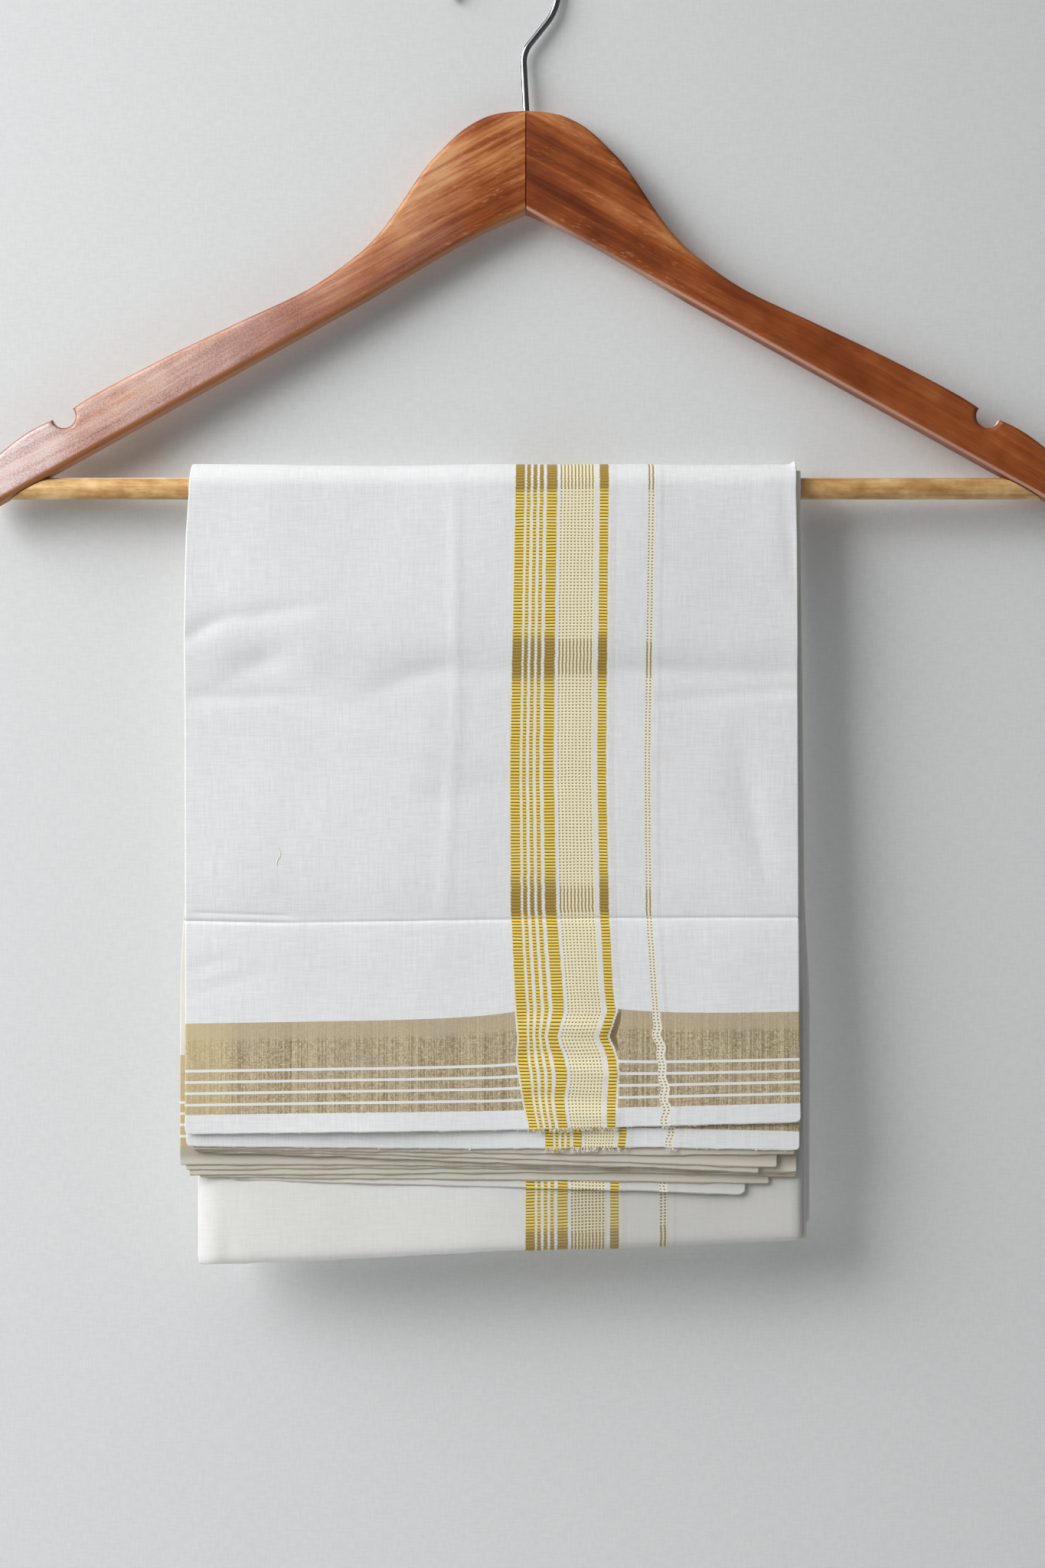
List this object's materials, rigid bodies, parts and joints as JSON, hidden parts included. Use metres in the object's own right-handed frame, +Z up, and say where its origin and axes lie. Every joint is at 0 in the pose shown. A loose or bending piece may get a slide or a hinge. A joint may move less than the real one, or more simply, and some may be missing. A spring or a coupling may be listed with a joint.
{
  "type": "dhoti cloth folded over a wooden trouser hanger",
  "caption": "White cotton dhoti with gold woven borders, folded into a flat packet and hung over the trouser bar of a wooden hanger with a steel hook.",
  "frame": {"origin": "inside top of the hook's bend, where a rail carries the hanger", "axes": "+Z is up, +X is the viewer's right as the hems face the viewer, and the front of the packet faces -Y"},
  "size_m": [0.4463, 0.0196, 0.543],
  "materials": {
    "dhoti_cotton": "fine plain-woven bleached cotton with gold zari borders",
    "hanger_wood": "stained and varnished reddish-brown wood",
    "bar_wood": "varnished light golden wood dowel",
    "hook_steel": "polished steel wire"
  },
  "bodies": {
    "root": {"outer_layer": "dhoti_cotton", "second_layer": "dhoti_cotton", "hidden_layers": "dhoti_cotton", "hem_leaves": "dhoti_cotton", "inner_panel": "dhoti_cotton", "hanger_arm_left": "hanger_wood", "hanger_arm_right": "hanger_wood", "trouser_bar": "bar_wood", "hook": "hook_steel"}
  },
  "joints": []
}
